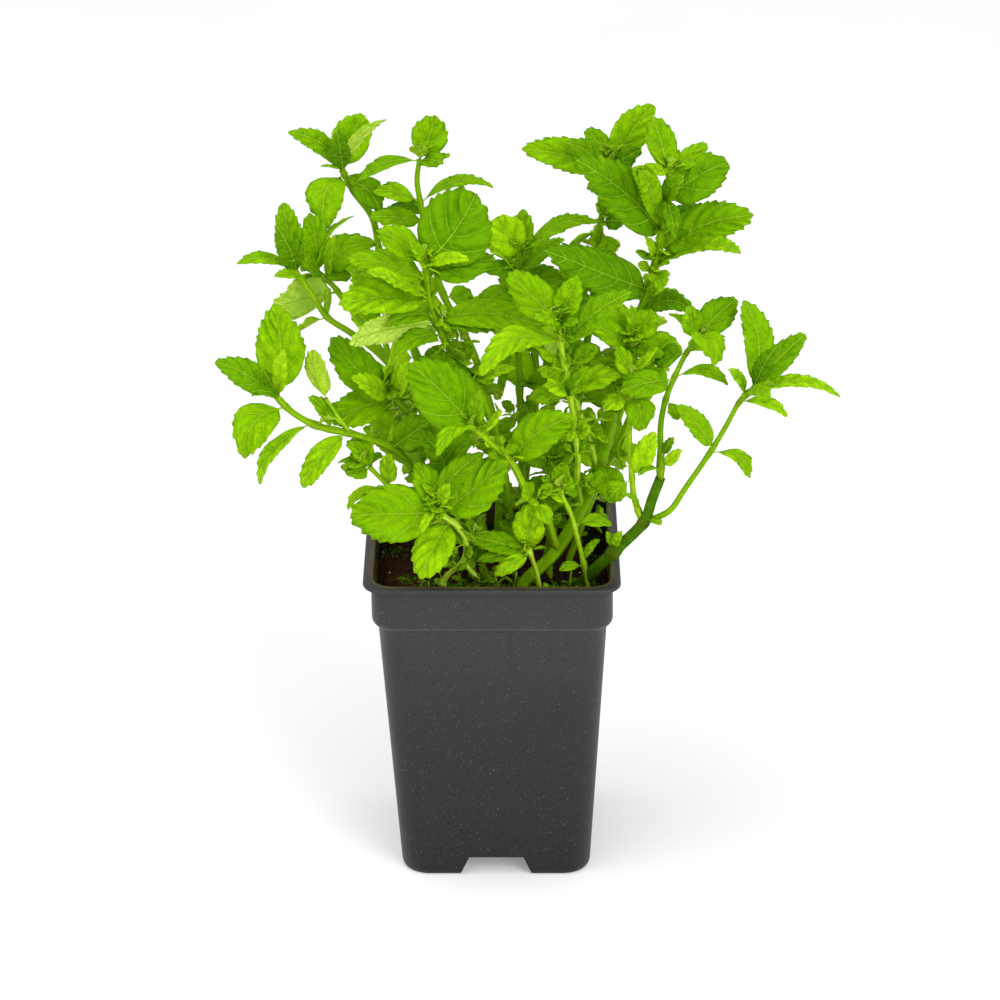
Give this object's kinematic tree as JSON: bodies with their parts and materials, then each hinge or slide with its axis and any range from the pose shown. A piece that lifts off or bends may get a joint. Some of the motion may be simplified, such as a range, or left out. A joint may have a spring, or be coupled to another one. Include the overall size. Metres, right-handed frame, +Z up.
{
  "type": "potted spearmint",
  "caption": "Leafy spearmint plant with toothed leaves on square stems, growing in soil in a square black plastic nursery pot.",
  "frame": {"origin": "middle of the pot's underside, on the surface that it stands on", "axes": "+Z up, +X to the right as seen from the front of the pot, +Y to its back"},
  "size_m": [0.2398, 0.142, 0.3069],
  "materials": {
    "pot_plastic": "dark grey recycled plastic, finely textured, satin on edges, a little dusty",
    "mint_leaf": "living leaf and stem, soft satin, quilted between the veins, finely hairy",
    "potting_soil": "loose dark peat crumbs with some moss, fully matt"
  },
  "bodies": {
    "root": {"pot": "pot_plastic", "stem_right_low": "mint_leaf", "stem_main": "mint_leaf", "stem_back_right": "mint_leaf", "stem_front_left": "mint_leaf", "stem_left": "mint_leaf", "stem_upper_left": "mint_leaf", "stem_mid_left": "mint_leaf", "stem_top_left": "mint_leaf", "stem_top_centre": "mint_leaf", "stem_broad_leaf": "mint_leaf", "stem_centre_top": "mint_leaf", "stem_mid_right": "mint_leaf", "stem_low_centre": "mint_leaf", "stem_low_left": "mint_leaf", "sprout_front": "mint_leaf", "sprout_right": "mint_leaf", "stem_back_middle": "mint_leaf", "stem_back_left": "mint_leaf", "stem_back_low": "mint_leaf", "soil": "potting_soil"}
  },
  "joints": []
}
